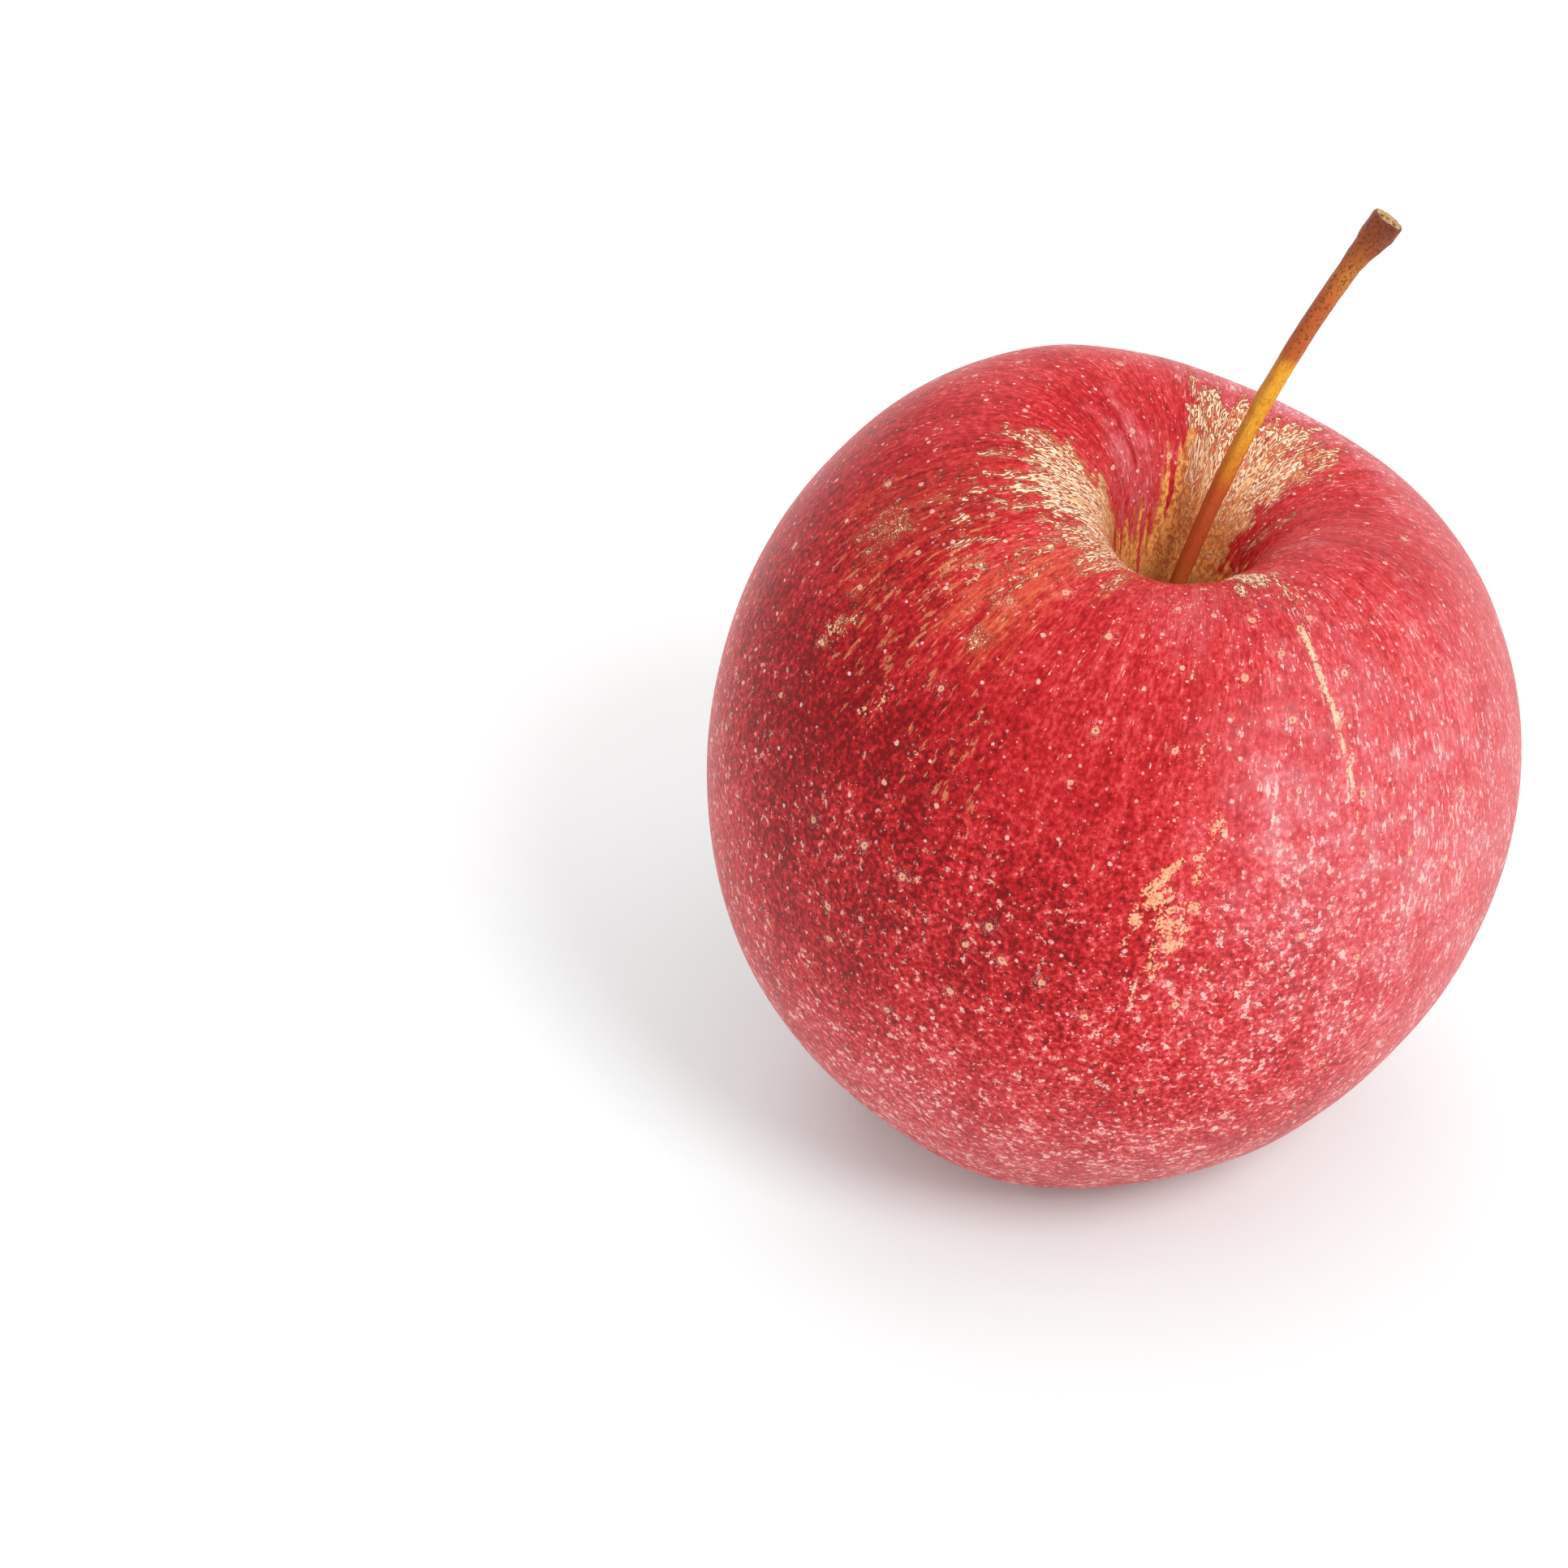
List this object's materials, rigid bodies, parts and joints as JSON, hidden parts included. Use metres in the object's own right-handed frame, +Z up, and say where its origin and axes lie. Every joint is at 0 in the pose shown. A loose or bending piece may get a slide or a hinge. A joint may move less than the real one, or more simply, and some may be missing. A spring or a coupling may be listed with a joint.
{
  "type": "apple",
  "caption": "Whole red apple with patches of russet and a long curved woody stem, standing on the lobes round its calyx basin.",
  "frame": {"origin": "on the ground under the centre of the bounding box", "axes": "+Z up from the ground through the stem cavity, +X the way the fruit and its stem lean"},
  "size_m": [0.0758, 0.0748, 0.0961],
  "materials": {
    "skin": "waxy crimson fruit skin, satin, with pale speckles and tan russet",
    "stem_bark": "thin ochre to red-brown bark, semi-matte",
    "sepal_husk": "dry brown leaf, matte",
    "stamen_floss": "dry dark brown filaments, matte"
  },
  "bodies": {
    "root": {"fruit": "skin", "stem": "stem_bark", "sepal_1": "sepal_husk", "sepal_2": "sepal_husk", "sepal_3": "sepal_husk", "sepal_4": "sepal_husk", "sepal_5": "sepal_husk", "stamen_tuft": "stamen_floss"}
  },
  "joints": []
}
